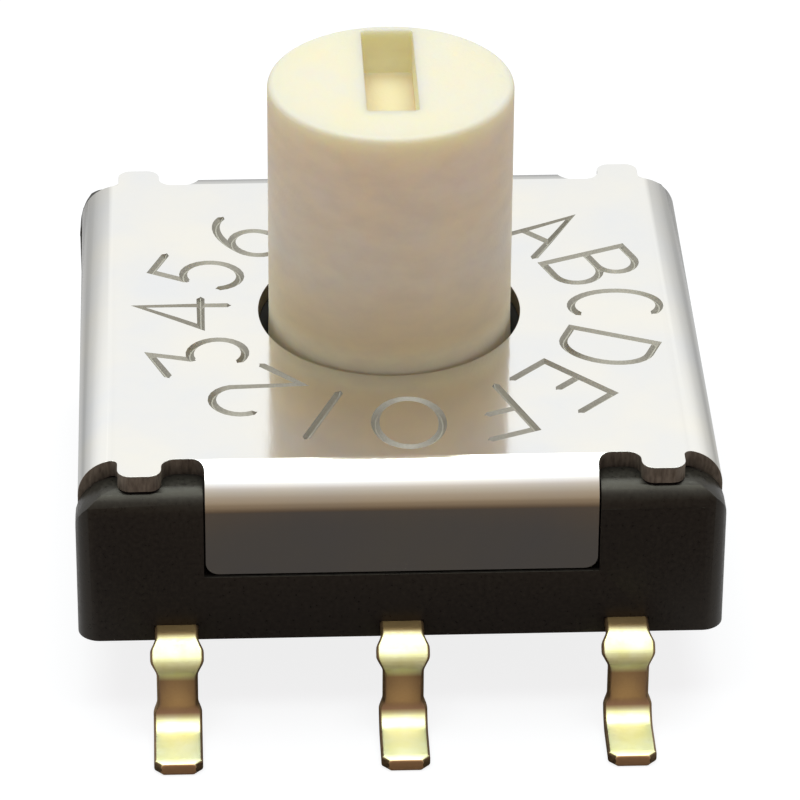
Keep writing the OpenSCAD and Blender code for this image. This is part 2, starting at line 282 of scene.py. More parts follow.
round_edges(base, broken_edge)

# The room for the rotor, the ledges of the click spring and gasket, and the bearing
above = under_cover + past
gasket_low, gasket_high = node_box("cover_gasket")
ledge_r = node_box("click_spring")[1][0] + slip
groove_ring = prism("groove_ring", circle_outline(gasket_high[0]), gasket_low[2], above)
carve(groove_ring, prism("core", circle_outline(gasket_high[0] - gasket_w), base_z, above + past))
carve(base, groove_ring)
carve(base, prism("ledge", circle_outline(ledge_r), under_cover - ledge_d, above))
carve(base, prism("cavity", circle_outline(cavity_r), floor_top, above))
carve(base, prism("bearing", circle_outline(bearing_r, 64), floor_top - 0.05,
                  floor_top + bearing_h), "UNION")
carve(base, prism("bearing_hole", circle_outline(bearing_hole_r, 64), bearing_floor, above))

black, add, connect = new_material("moulded_black", Specular_IOR_Level=0.3,
                                   Specular_Tint=(1, 0.92, 0.78, 1))
grain = noise(add, 0.05, detail=4)
connect(ramp(add, grain, (0.0155, 0.0145, 0.012), (0.025, 0.023, 0.018)), "Base Color")
connect(ramp(add, grain, 0.26, 0.40), "Roughness")
connect(bump(add, grain, 0.0012), "Normal")
base.data.materials.append(black)
shade_smooth(base)
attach(base, "housing")
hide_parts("base")

# ---------------------------------------------------------------- Cover
# The cover is stamped from 0.2 mm bright steel strip and folded: a square plate round the shaft's
# hole, two skirts over the leads and two wider ones at the sides, with relief slots at the bends.

sheet_t = 0.2
bend_r = 0.45                           # outer radius of the folds
neutral_r = bend_r - sheet_t / 2
cover_top = cover_high[2]
bend_line = cover_high[1] - bend_r
fold_l = neutral_r * math.pi / 2        # length of sheet in one fold
skirt_l = fold_l + (cover_top - sheet_t / 2 - neutral_r - skirt_z)
tab_edge = half - 0.12
tab_in = skirt_w / 2 + 0.48
hole_r = 1.53
hole_centre = (0, 0.1)                  # the hole sits a little back in the plate
edge_r = 0.08                           # corners that the stamping tool leaves
relief_r = 0.16                         # ends of the relief slots
tab_corner_r = 0.15
skirt_corner_r = 0.15
hole_rim_r = 0.05                       # rolled edge of the hole


def triangles_inside(outline, holes=(), creases=()):
    """Triangles that fill a counter-clockwise outline with its holes left open, with an edge along
    each crease (start, end)."""
    rings = [np.asarray(r, float) for r in (outline, *holes)]
    starts = np.cumsum([0] + [len(r) for r in rings])
    loops = [list(range(a, b)) for a, b in zip(starts[:-1], starts[1:])]
    crease_points = np.asarray(creases, float).reshape(-1, 2)
    points = np.vstack(rings + [crease_points])
    edges = [(starts[-1] + 2 * i, starts[-1] + 2 * i + 1) for i in range(len(creases))]
    found, _, faces, _, _, inside = delaunay_2d_cdt(
        [Vector(p) for p in points], edges, loops, 1, 1e-5, True)
    kept = np.array([f for f, of in zip(faces, inside) if list(of) == [0]])
    used, kept = np.unique(kept, return_inverse=True)
    return np.array([tuple(p) for p in found])[used], kept.reshape(-1, 3)


def folded_sheet(name, flat, triangles, fold, thickness):
    """Gives a flat blank its thickness where it is folded: fold returns the middle of the sheet and
    its upward normal at each flat point, and both faces lie half a thickness from it. The cut edges
    take the second material."""
    middle, normal = fold(flat)
    n = len(flat)
    points = np.vstack([middle + normal * thickness / 2, middle - normal * thickness / 2])
    a = triangles[:, [0, 1, 2]].ravel()
    b = triangles[:, [1, 2, 0]].ravel()
    one_way = set(zip(a.tolist(), b.tolist()))
    rim = np.array([e for e in one_way if (e[1], e[0]) not in one_way])
    walls = np.column_stack([rim[:, 1], rim[:, 0], rim[:, 0] + n, rim[:, 1] + n])
    piece = new_piece(name, points, [*triangles, *(triangles[:, ::-1] + n), *walls])
    sides = np.arange(len(piece.data.polygons)) >= 2 * len(triangles)
    piece.data.polygons.foreach_set("material_index", sides.astype(np.int32))
    tidy = bmesh.new()
    tidy.from_mesh(piece.data)
    bmesh.ops.dissolve_limit(
        tidy, angle_limit=math.radians(0.5), verts=tidy.verts, edges=tidy.edges)
    tidy.to_mesh(piece.data)
    tidy.free()
    return piece


def cover_fold(flat):
    """Past a bend line the sheet follows a quarter circle of the neutral radius, and then runs
    straight down."""
    middle = np.column_stack([flat, np.full(len(flat), cover_top - sheet_t / 2)])
    normal = np.tile([0.0, 0.0, 1.0], (len(flat), 1))
    for axis, other in ((0, 1), (1, 0)):
        past_line = np.abs(flat[:, axis]) - bend_line
        reach = (side_skirt_w / 2 + edge_r, skirt_w / 2 + relief_r)[axis]
        bent = (past_line > 0) & (np.abs(flat[:, other]) < reach + 0.01)
        s = past_line[bent]
        side = np.sign(flat[bent, axis])
        turn = np.minimum(s / neutral_r, math.pi / 2)
        straight = np.maximum(s - fold_l, 0)
        middle[bent, axis] = side * (bend_line + neutral_r * np.sin(turn))
        middle[bent, 2] -= neutral_r * (1 - np.cos(turn)) + straight
        normal[bent] = 0
        normal[bent, axis] = side * np.sin(turn)
        normal[bent, 2] = np.cos(turn)
    return middle, normal


end = bend_line + skirt_l
quarter_corners = np.array([
    [end, bend_line], [bend_line, bend_line], [bend_line, tab_edge],
    [tab_in, tab_edge], [tab_in, bend_line], [skirt_w / 2, bend_line], [skirt_w / 2, end],
])
quarter_radii = np.array([skirt_corner_r, edge_r, tab_corner_r, tab_corner_r, relief_r, relief_r,
                          skirt_corner_r])
corners, radii = [], []
for sx, sy in ((1, 1), (-1, 1), (-1, -1), (1, -1)):
    order = slice(None, None, sx * sy)
    corners.append((quarter_corners * [sx, sy])[order])
    radii.append(quarter_radii[order])
fold_steps = np.linspace(0, fold_l, 13)
creases = []
for line in np.concatenate([bend_line + fold_steps, -bend_line - fold_steps]):
    creases += [[[-end, line], [end, line]], [[line, -end], [line, end]]]
blank, triangles = triangles_inside(rounded_outline(np.vstack(corners), np.concatenate(radii)),
                                    [circle_outline(hole_r, 144) + hole_centre], creases)
cover = folded_sheet("cover_sheet", blank, triangles, cover_fold, sheet_t)


def edge_share(x, y, z):
    """The hole's upper rim and the skirts' lower edges are rolled over, the others only broken."""
    rolled = math.dist((x, y), hole_centre) < hole_r + 0.01 and z > cover_top - 0.01
    return 1.0 if rolled else 0.7 if z < skirt_z + 0.01 else 0.35


round_edges(cover, hole_rim_r, share=edge_share)

steel, add, connect = new_material("bright_steel", Metallic=1.0)
stains = noise(add, 1.1, detail=4)
connect(ramp(add, stains, (0.855, 0.865, 0.865), (0.925, 0.905, 0.83)), "Base Color")
rolling = noise(add, 0.06, detail=3, stretch=(1, 12, 12))
connect(ramp(add, rolling, 0.085, 0.13), "Roughness")
connect(bump(add, rolling, 0.0004), "Normal")
sheared, add, connect = new_material("sheared_steel", Metallic=0.5)
tears = noise(add, 0.03, detail=4, stretch=(1, 1, 4))
connect(ramp(add, tears, (0.13, 0.11, 0.08), (0.24, 0.21, 0.16)), "Base Color")
connect(ramp(add, tears, 0.45, 0.65), "Roughness")
connect(bump(add, tears, 0.004), "Normal")
for material in (steel, sheared):
    cover.data.materials.append(material)

# ---------------------------------------------------------------- Dial figures
# The sixteen positions are marked in the cover by engraved strokes, 0 to 9 and A to F, clockwise
# round the shaft with their tops outwards. Each stroke is a V cut along the line of the figure.

figure_h = 1.04
figure_w = 0.66
dial_r = 2.53                           # from the dial's centre to the middle of the figures
dial_centre = (0.12, 0.06)              # the stamp sits a little off the shaft
stroke_w = 0.095
stroke_slope = math.radians(48)         # of the sides of the V


def arc(x, y, rx, ry, start, stop, steps=14):
    """Points on an ellipse about (x, y), from one angle to another in degrees."""
    a = np.radians(np.linspace(start, stop, steps))
    return np.column_stack([x + rx * np.cos(a), y + ry * np.sin(a)])


def join(*runs):
    """One stroke from several runs of points."""
    return np.vstack([np.atleast_2d(np.asarray(r, float)) for r in runs])


# Strokes of each figure in a cell 1 wide and 1 high
FIGURES = {
    "0": [arc(0.5, 0.5, 0.58, 0.5, 90, 450, 36)],
    "1": [join((0.5, 0), (0.5, 1))],
    "2": [join(arc(0.42, 0.72, 0.48, 0.28, 165, -30), (0.0, 0), (0.95, 0))],
    "3": [join((0.08, 1), (0.88, 1), (0.42, 0.62)), arc(0.44, 0.31, 0.47, 0.31, 90, -150, 18)],
    "4": [join((0.76, 0), (0.76, 1), (0.0, 0.3), (1.0, 0.3))],
    "5": [join((0.85, 1), (0.2, 1), (0.13, 0.56)), arc(0.46, 0.33, 0.46, 0.33, 136, -145, 20)],
    "6": [arc(0.5, 0.3, 0.42, 0.3, 150, 510, 26), join(arc(0.78, 0.3, 0.7, 0.7, 180, 95, 12))],
    "7": [join((0.05, 1), (0.92, 1), (0.36, 0))],
    "8": [arc(0.5, 0.75, 0.34, 0.25, -90, 270, 24), arc(0.5, 0.25, 0.44, 0.25, 90, 450, 26)],
    "9": [arc(0.5, 0.7, 0.42, 0.3, -30, 330, 26), arc(0.22, 0.7, 0.7, 0.7, 0, -85, 12)],
    "A": [join((0, 0), (0.5, 1), (1, 0)), join((0.2, 0.38), (0.8, 0.38))],
    "B": [join((0.06, 0.54), (0.06, 0), arc(0.55, 0.27, 0.42, 0.27, -90, 90), (0.06, 0.54),
               (0.06, 1), arc(0.52, 0.77, 0.38, 0.23, 90, -80))],
    "C": [arc(0.46, 0.5, 0.52, 0.5, 58, 302, 26)],
    "D": [join((0, 0), (0, 1), (0.4, 1), arc(0.4, 0.5, 0.54, 0.5, 90, -90, 18), (0, 0))],
    "E": [join((0.92, 1), (0.08, 1), (0.08, 0), (0.92, 0)), join((0.08, 0.5), (0.6, 0.5))],
    "F": [join((0.92, 1), (0.08, 1), (0.08, 0)), join((0.08, 0.52), (0.62, 0.52))],
}


def groove(path, width, slope):
    """A V whose sides stand at the slope and are width apart at height 0, carried along a path
    (n, 2) with mitred turns and drawn in at both ends over half a width. Returns points and
    faces."""
    steps = np.linalg.norm(np.diff(path, axis=0), axis=1)
    path = path[np.concatenate([[True], steps > 1e-6])]
    closed = np.linalg.norm(path[0] - path[-1]) < 1e-6
    ahead = np.diff(path, axis=0)
    ahead /= np.linalg.norm(ahead, axis=1)[:, None]
    if closed:
        path = path[:-1]
        before, after = np.roll(ahead, 1, axis=0), ahead
        size = np.ones(len(path))
    else:
        path = np.vstack([path[0] - ahead[0] * width / 2, path, path[-1] + ahead[-1] * width / 2])
        before = np.vstack([ahead[:1], ahead[:1], ahead, ahead[-1:]])
        after = np.vstack([ahead[:1], ahead, ahead[-1:], ahead[-1:]])
        size = np.concatenate([[0.1], np.ones(len(path) - 2), [0.1]])
    across = np.column_stack([-(before + after)[:, 1], (before + after)[:, 0]])
    across /= np.linalg.norm(across, axis=1)[:, None]
    mitre = 1 / np.maximum((across * np.column_stack([-after[:, 1], after[:, 0]])).sum(1), 0.5)
    over = 0.25 * width
    out = width / 2 + over / math.tan(slope)
    blunt = 0.08                        # half of the V's flat bottom, as a share of its width
    deep = (0.5 - blunt) * width * math.tan(slope)
    section = np.array([[-out, over], [-blunt * width, -deep], [blunt * width, -deep], [out, over]])
    side = section[None, :, 0] * (size * mitre)[:, None]
    rise = np.where(section[None, :, 1] > 0, over, section[None, :, 1] * size[:, None])
    flat = path[:, None, :] + across[:, None, :] * side[:, :, None]
    points = np.concatenate([flat, rise[:, :, None]], 2).reshape(-1, 3)
    faces = tube_faces(len(path), 4)
    if closed:
        j = np.arange(4)
        k = (j + 1) % 4
        last = 4 * (len(path) - 1)
        faces = [*faces[:-2], *np.column_stack([last + j, last + k, k, j])]
    return points, faces


def tube_faces(rings, around):
    """Faces of a tube with its two ends closed; the points run round each ring in turn."""
    i = np.arange(rings - 1)[:, None] * around
    j = np.arange(around)[None, :]
    k = (j + 1) % around
    sides = np.stack([i + j, i + k, i + k + around, i + j + around], 2).reshape(-1, 4)
    last = (rings - 1) * around
    return [*sides, np.arange(around)[::-1], np.arange(around) + last]


def face_outwards(piece):
    """Turns every face of a closed mesh so that it looks out."""
    tidy = bmesh.new()
    tidy.from_mesh(piece.data)
    bmesh.ops.recalc_face_normals(tidy, faces=tidy.faces)
    tidy.to_mesh(piece.data)
    tidy.free()
    return piece


points, faces, count = [], [], 0
for place, lines in enumerate(FIGURES.values()):
    outward = -math.pi / 2 - place * 2 * math.pi / len(FIGURES)
    up = np.array([math.cos(outward), math.sin(outward)])
    right = np.array([up[1], -up[0]])
    for line in lines:
        x, y = (line - 0.5).T * [[figure_w], [figure_h]]
        path = up * (dial_r + y[:, None]) + right * x[:, None] + dial_centre
        made, of = groove(path, stroke_w, stroke_slope)
        points.append(made + [0, 0, cover_top])
        faces += [f + count for f in of]
        count += len(made)
strokes = face_outwards(new_piece("strokes", np.vstack(points), faces))

engraved, add, connect = new_material("engraved_steel", Metallic=1.0)
grain = noise(add, 0.02)
connect(ramp(add, grain, (0.29, 0.275, 0.24), (0.39, 0.37, 0.325)), "Base Color")
connect(ramp(add, grain, 0.5, 0.6), "Roughness")
for material in (steel, sheared, engraved):
    strokes.data.materials.append(material)
third = np.full(len(strokes.data.polygons), 2, np.int32)
strokes.data.polygons.foreach_set("material_index", third)
cover.data.materials.append(engraved)
carve(cover, strokes, crosses_itself=True)


def keep_flats_plane(piece):
    """Gives each corner on a face that looks along an axis that face's own normal, and the same to
    the corners of a bend that meet it, so that a mirror stays plane up to its edge."""
    mesh = apply_modifiers(piece).data
    corners = len(mesh.loops)
    vertex = np.empty(corners, np.int32)
    mesh.loops.foreach_get("vertex_index", vertex)
    normal = np.empty(3 * corners, np.float32)
    mesh.corner_normals.foreach_get("vector", normal)
    normal = normal.reshape(-1, 3)
    faces = len(mesh.polygons)
    sizes = np.empty(faces, np.int32)
    mesh.polygons.foreach_get("loop_total", sizes)
    looks = np.empty(3 * faces, np.float32)
    mesh.polygon_normals.foreach_get("vector", looks)
    looks = np.repeat(looks.reshape(-1, 3), sizes, axis=0)
    axes = np.vstack([np.eye(3), -np.eye(3)])
    on_flat = looks @ axes.T > 0.99999  # within a quarter of a degree
    meets = np.zeros((len(mesh.vertices), 6), bool)
    for k in range(6):
        meets[vertex[on_flat[:, k]], k] = True
    near = np.where(meets[vertex], normal @ axes.T, 0)
    near[on_flat] = 2
    best = near.argmax(1)               # a corner takes an axis that is within 45 degrees
    normal = np.where(near.max(1)[:, None] > 0.7, axes[best], normal)
    mesh.normals_split_custom_set(normal.tolist())


shade_smooth(cover)
keep_flats_plane(cover)
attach(cover, "housing")
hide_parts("cover")

# ---------------------------------------------------------------- Rotor
# The rotor is one ivory moulding: the tall shaft with its driver slot, the flange with sixteen
# notches that the click spring drops into, and the small pivot that turns in the base.

rotor_low, rotor_high = node_box("rotor")
shaft_r = 1.41
seal_r = 1.43                           # foot of the taper that the O-ring grips
taper_top = cover_top + 0.03
shoulder_r = 1.93
flange_r = rotor_high[0]
pivot_r = 0.4
pivot_chamfer = 0.03
disc_z = floor_top + 0.3                # underside of the flange, which carries the code disc
shoulder_top = under_cover - 0.47       # the O-ring sits on it
flange_top = shoulder_top - 0.08
rim_r = 0.07                            # rounding of the shaft's top
slot_w = 0.6
slot_short = 0.72                       # from the axis to its two ends
slot_long = shaft_r - 0.15
slot_d = 0.55
slot_corner = 0.05
notch_w = 0.42
notch_d = 0.12
shaft_top = rotor_high[2]


def turned_solid(name, profile, steps=192, shape=None):
    """A profile of (radius, height) from the axis back to the axis, turned round Z. shape may move
    the points of the grid (profile, angle)."""
    profile = np.asarray(profile, float)
    angle = np.linspace(0, 2 * math.pi, steps, endpoint=False)
    r, z = profile[1:-1, :1], profile[1:-1, 1:]
    grid = np.stack([r * np.cos(angle), r * np.sin(angle), z + 0 * angle], 2)
    if shape is not None:
        grid = shape(grid)
    points = np.vstack([grid.reshape(-1, 3), [[0, 0, profile[0, 1]], [0, 0, profile[-1, 1]]]])
    faces = tube_faces(len(profile) - 2, steps)[:-2]
    j = np.arange(steps)
    k = (j + 1) % steps
    bottom, top = len(points) - 2, len(points) - 1
    last = (len(profile) - 3) * steps
    faces += [*np.column_stack([k, j, np.full(steps, bottom)])]
    faces += [*np.column_stack([j + last, k + last, np.full(steps, top)])]
    return new_piece(name, points, faces)


def notched(grid):
    """Where the flange's top is, the height drops by a V: the notch's depth less the distance from
    the notch's middle line times depth over half of its width."""
    x, y, z = grid[..., 0], grid[..., 1], grid[..., 2]
    pitch = math.pi / 8
    off = (np.arctan2(y, x) + pitch / 2) % pitch - pitch / 2
    aside = np.abs(np.hypot(x, y) * np.sin(off))
    drop = notch_d * np.maximum(1 - aside / (notch_w / 2), 0)
    on_top = (np.abs(z - flange_top) < 1e-6) & (np.hypot(x, y) > shoulder_r - 1e-6)
    grid[..., 2] = z - drop * on_top
    return grid


rim = np.linspace(0, math.pi / 2, 7)
profile = np.vstack([
    [[0, rotor_low[2]], [pivot_r - pivot_chamfer, rotor_low[2]],
     [pivot_r, rotor_low[2] + pivot_chamfer],
     [pivot_r, disc_z], [flange_r, disc_z], [flange_r, flange_top]],
    [[r, flange_top] for r in np.linspace(flange_r, shoulder_r, 5)[1:]],
    [[shoulder_r, shoulder_top], [seal_r, shoulder_top], [shaft_r, taper_top]],
    np.column_stack([shaft_r - rim_r * (1 - np.cos(rim)), shaft_top - rim_r * (1 - np.sin(rim))]),
    [[0, shaft_top]],
])
rotor = turned_solid("rotor_shaft", profile, shape=notched)
slot = box_outline((0, (slot_long - slot_short) / 2), (slot_w, slot_long + slot_short))
carve(rotor, prism("slot", rounded_outline(slot, slot_corner, 5), shaft_top - slot_d,
                   shaft_top + past))


def merged_copy(node):
    """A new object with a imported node's shape, its split points merged."""
    merged = bmesh.new()
    merged.from_mesh(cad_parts[node].data)
    bmesh.ops.remove_doubles(merged, verts=merged.verts, dist=1e-8)
    merged.verts.index_update()
    points = [[c / MM for c in v.co] for v in merged.verts]
    faces = [[v.index for v in f.verts] for f in merged.faces]
    merged.free()
    return new_piece(node + "_copy", points, faces)


carve(rotor, merged_copy("code_disc"))

ivory, add, connect = new_material(
    "ivory_plastic", Subsurface_Weight=0.9, Subsurface_Scale=0.6 * MM, Specular_IOR_Level=0.4)
ivory.node_tree.nodes["Principled BSDF"].inputs["Subsurface Radius"].default_value = (1.0, 0.8, 0.4)
cloud = noise(add, 0.9, detail=4)
grain = noise(add, 0.04, detail=4)
place = add("TexCoord").outputs["Object"]
height = add("SeparateXYZ", {0: place}).outputs["Z"]
plain = ramp(add, cloud, (0.845, 0.80, 0.645), (0.905, 0.815, 0.555))
# At the foot of the shaft the colour turns warmer and darker, which is painted shade and bounced
# light, and just above the cover a paler band is a painted glow
foot_painted_shade = ramp(add, height, 1.0, 0.0, (cover_top + 0.3) * MM, (cover_top + 1.2) * MM)
toned = blend_colours(add, foot_painted_shade, plain, (0.86, 0.71, 0.40))
foot_painted_glow = ramp(add, height, 1.0, 0.0, (cover_top + 0.2) * MM, (cover_top + 0.4) * MM)
toned = blend_colours(add, foot_painted_glow, toned, (0.96, 0.82, 0.50))
# Handling has left grey scuffs on the shaft's side
scuffs = ramp(add, noise(add, 0.2, detail=4, stretch=(2, 2, 1)), 0.17, 0.0, 0.28, 0.62)
scuffs = ramp(add, height, scuffs, 0.0, (shaft_top - 0.3) * MM, (shaft_top - 0.1) * MM)
toned = blend_colours(add, scuffs, toned, (0.56, 0.50, 0.40))
# In the slot the walls are painted paler, which is painted light, and the bottom darker and more
# saturated, which is painted shade and bounced light
inwards = add("VectorMath", {0: place, 1: (1, 1, 0)}, operation="MULTIPLY").outputs["Vector"]
inwards = add("VectorMath", {0: inwards}, operation="LENGTH").outputs["Value"]
slot_painted_light_and_shade = ramp(add, height, (0.99, 0.965, 0.71), (0.83, 0.715, 0.44),
               (shaft_top - slot_d + 0.06) * MM, (shaft_top - slot_d + 0.01) * MM)
# Where the slot is, its painted light and shade replace the shaft's colour
cut = ramp(add, height, 0.0, 1.0, (shaft_top - 0.02) * MM, (shaft_top - 0.05) * MM)
cut = ramp(add, inwards, cut, 0.0, (shaft_r - 0.25) * MM, (shaft_r - 0.15) * MM)
connect(blend_colours(add, cut, toned, slot_painted_light_and_shade), "Base Color")
connect(ramp(add, grain, 0.42, 0.58), "Roughness")
connect(bump(add, grain, 0.004), "Normal")
rotor.data.materials.append(ivory)
shade_smooth(rotor)
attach(rotor, "rotor")
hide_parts("rotor")

# ---------------------------------------------------------------- O-ring
# A black rubber O-ring sits on the rotor's shoulder and seals the shaft against the cover. It
# turns with the rotor, and shows as a dark line in the gap round the shaft.

ring_low, ring_high = node_box("o_ring")
cord_r = (ring_high[2] - ring_low[2]) / 2
cord_place = ring_high[0] - cord_r


def torus(name, radius, cord, z, steps=160, around=32):
    """A circle of the cord's radius carried round the axis."""
    u = np.linspace(0, 2 * math.pi, steps, endpoint=False)[:, None]
    v = np.linspace(0, 2 * math.pi, around, endpoint=False)[None, :]
    r = radius + cord * np.cos(v)
    points = np.stack([r * np.cos(u), r * np.sin(u), z + cord * np.sin(v) + 0 * u], 2)
    i, j = np.arange(steps)[:, None], np.arange(around)[None, :]
    a, b = i * around, (i + 1) % steps * around
    k = (j + 1) % around
    faces = np.stack([a + j, b + j, b + k, a + k], 2)
    return new_piece(name, points.reshape(-1, 3), faces.reshape(-1, 4))


o_ring = torus("seal_ring", cord_place, cord_r, (ring_low[2] + ring_high[2]) / 2)
rubber, add, connect = new_material("black_rubber", Specular_IOR_Level=0.3)
grain = noise(add, 0.03, detail=4)
connect(ramp(add, grain, (0.012, 0.012, 0.012), (0.025, 0.025, 0.025)), "Base Color")
connect(ramp(add, grain, 0.6, 0.8), "Roughness")
o_ring.data.materials.append(rubber)
shade_smooth(o_ring, 80)
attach(o_ring, "rotor")
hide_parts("o_ring")

# ---------------------------------------------------------------- Terminals
# Six leads are stamped from 0.15 mm copper alloy, plated with gold, and bent to gull wings. Inside
# the base each runs flat to the pad that carries its contact spring.

lead_t = 0.15
lead_edge_r = 0.045                     # rounding of the stamped edges
lead_low = base_z + 0.05
lead_bend_r = 0.28 - lead_t / 2         # middle of the strip in the two upper bends
slope_l = 0.12                          # straight between them
slope_a = math.radians(42)
heel_r = 0.24 + lead_t / 2
pitch = 2.54
strip_w = 0.4
pad_l = 0.32                            # the pads carry the contact springs
pad_margin = 0.04
overlap = 0.1                           # of the strip in the base with the bent part
well_w = 0.36
well_ahead = 0.6                        # the well's far end, from the spring's root
foot_end = node_box("terminal_1")[1][1]
LEADS = {                               # name: side it leaves on, column, way its contact points
    "1": (1, 1, 1), "2": (1, -1, 1), "4": (-1, -1, 1), "8": (-1, 1, 1),
    "common_front": (-1, 0, 1), "common_back": (1, 0, -1),
}
# Lengths along the middle of the strip, from the axis
bend = half + 0.12
slope_1 = bend + lead_bend_r * slope_a
upright_1 = slope_1 + slope_l + lead_bend_r * (math.pi / 2 - slope_a)
heel = upright_1 + lead_low - lead_bend_r - slope_l * math.sin(slope_a) - heel_r
foot = heel + heel_r * math.pi / 2
lead_end = foot + foot_end - (bend + lead_bend_r + slope_l * math.cos(slope_a) + heel_r)
SLOPES = [(0, 0), (bend, 0), (slope_1, slope_a), (slope_1 + slope_l, slope_a),
          (upright_1, math.pi / 2), (heel, math.pi / 2), (foot, 0), (lead_end, 0)]
# Half widths: lug in the wall, exit, shoulder, neck and foot
WIDTHS = [(bend - 0.58, 0.30), (bend - 0.28, 0.30), (bend - 0.22, 0.245), (bend + 0.06, 0.245),
          (bend + 0.22, 0.302), (bend + 0.30, 0.302), (bend + 0.46, 0.232),
          (heel - 0.02, 0.232), (heel + 0.13, 0.274), (lead_end, 0.274)]
# How the foot's end draws in: length from the end, and what half the width and thickness lose
END = np.array([(0, 0.1, 0.03), (0.002, 0.085, 0.014), (0.008, 0.075, 0.004), (0.02, 0.07, 0),
                (0.09, 0, 0)])


def eased(x, knots):
    """Value at x between knots (place, value), with a smoothstep 3s^2 - 2s^3 from each to the
    next."""
    at, value = np.array(knots).T
    i = np.clip(np.searchsorted(at, x, side="right") - 1, 0, len(at) - 2)
    s = np.clip((x - at[i]) / (at[i + 1] - at[i]), 0, 1)
    return value[i] + (value[i + 1] - value[i]) * s * s * (3 - 2 * s)


def lead_line(u):
    """Middle of the strip and its outer normal, as (outwards, up), at a length u from the axis: the
    running sum of short steps down a slope that changes evenly between the places in SLOPES."""
    place, step = np.linspace(0, lead_end, 6001, retstep=True)
    slope = np.interp(place[1:] - step / 2, *zip(*SLOPES))
    out = np.concatenate([[0], np.cumsum(np.cos(slope))]) * step
    down = np.concatenate([[0], np.cumsum(np.sin(slope))]) * step
    up = lead_low + lead_t / 2 - np.interp(u, place, down)
    turn = np.interp(u, *zip(*SLOPES))
    return (np.column_stack([np.interp(u, place, out), up]),
            np.column_stack([np.sin(turn), np.cos(turn)]))


def lead_sweep(name, x, side):
    """A rounded rectangle carried along the lead's line. Its width follows WIDTHS, and it draws in
    at the foot's end over a chamfer and a rounded edge, as END says."""
    u = np.unique(np.round(np.concatenate([
        np.arange(WIDTHS[0][0], lead_end - END[-1, 0], 0.03), np.linspace(bend, slope_1, 9),
        np.linspace(slope_1 + slope_l, upright_1, 9), np.linspace(heel, foot, 9),
        lead_end - END[:, 0],
    ]), 6))
    half_w = eased(u, WIDTHS) - np.interp(lead_end - u, END[:, 0], END[:, 1])
    half_t = lead_t / 2 - np.interp(lead_end - u, END[:, 0], END[:, 2])
    corner = np.radians(np.arange(0, 360, 90)[:, None] + np.linspace(0, 90, 5)[None, :])
    to_x = np.array([1, -1, -1, 1])[:, None] + 0 * corner
    to_t = np.array([1, 1, -1, -1])[:, None] + 0 * corner
    r = np.minimum(lead_edge_r, half_t)[:, None]
    across = to_x.ravel() * (half_w[:, None] - r) + r * np.cos(corner).ravel()
    over = to_t.ravel() * (half_t[:, None] - r) + r * np.sin(corner).ravel()
    middle, normal = lead_line(u)
    out = middle[:, :1] + normal[:, :1] * over
    up = middle[:, 1:] + normal[:, 1:] * over
    points = np.stack([x + across, side * out, up], 2).reshape(-1, 3)
    return new_piece(name, points, tube_faces(len(u), corner.size))


gold, add, connect = new_material("gold_plating", Metallic=1.0)
cloud = noise(add, 0.25, detail=2)
grain = noise(add, 0.03, detail=4)
place = add("SeparateXYZ", {0: add("TexCoord").outputs["Object"]}).outputs
outwards = add("Math", {0: place["Y"]}, operation="ABSOLUTE").outputs[0]
# Painted shade: the exit next to the wall is darkened, partly tarnish and partly painted shade, and
# the upright neck is painted brown for the shade and dim room it faces
at_wall = ramp(add, outwards, 1.0, 0.0, (half + 0.16) * MM, (half + 0.28) * MM)
over_foot = ramp(add, place["Z"], 0.0, 1.0, 0.23 * MM, 0.30 * MM)
on_neck = ramp(add, place["Z"], over_foot, 0.0, 0.72 * MM, 0.82 * MM)
toned = add("Math", {0: at_wall, 1: on_neck}, operation="MAXIMUM").outputs[0]
plated = ramp(add, cloud, (0.94, 0.93, 0.47), (0.98, 0.99, 0.67))
# Brown for tarnish at the wall and for painted shade on the neck
tarnish_and_painted_shade = blend_colours(add, at_wall, (0.44, 0.27, 0.18), (0.46, 0.32, 0.15))
toned = blend_colours(add, toned, plated, tarnish_and_painted_shade)
cut_end = ramp(add, outwards, 0.0, 1.0, (foot_end - 0.012) * MM, (foot_end - 0.004) * MM)
toned = blend_colours(add, cut_end, toned, (1.0, 0.62, 0.34))
connect(toned, "Base Color")
connect(ramp(add, grain, 0.46, 0.56), "Roughness")
connect(bump(add, grain, 0.0004), "Normal")
# The lead's sides are painted darker: painted shade on the faces that look sideways
lead_side_shade, add, connect = new_material("painted_side_shade", Metallic=1.0)
grain = noise(add, 0.03, detail=4)
connect(ramp(add, grain, (0.20, 0.135, 0.075), (0.34, 0.23, 0.12)), "Base Color")
connect(ramp(add, grain, 0.45, 0.6), "Roughness")


def paint_shade_on_lead_sides(lead):
    """Gives the second material, a darker gold that is painted shade, to the faces that look more
    than 30 degrees out of the plane in which the lead is bent."""
    looks = np.empty(3 * len(lead.data.polygons), np.float32)
    lead.data.polygon_normals.foreach_get("vector", looks)
    shaded_side = np.abs(looks[::3]) > 0.5
    lead.data.polygons.foreach_set("material_index", shaded_side.astype(np.int32))


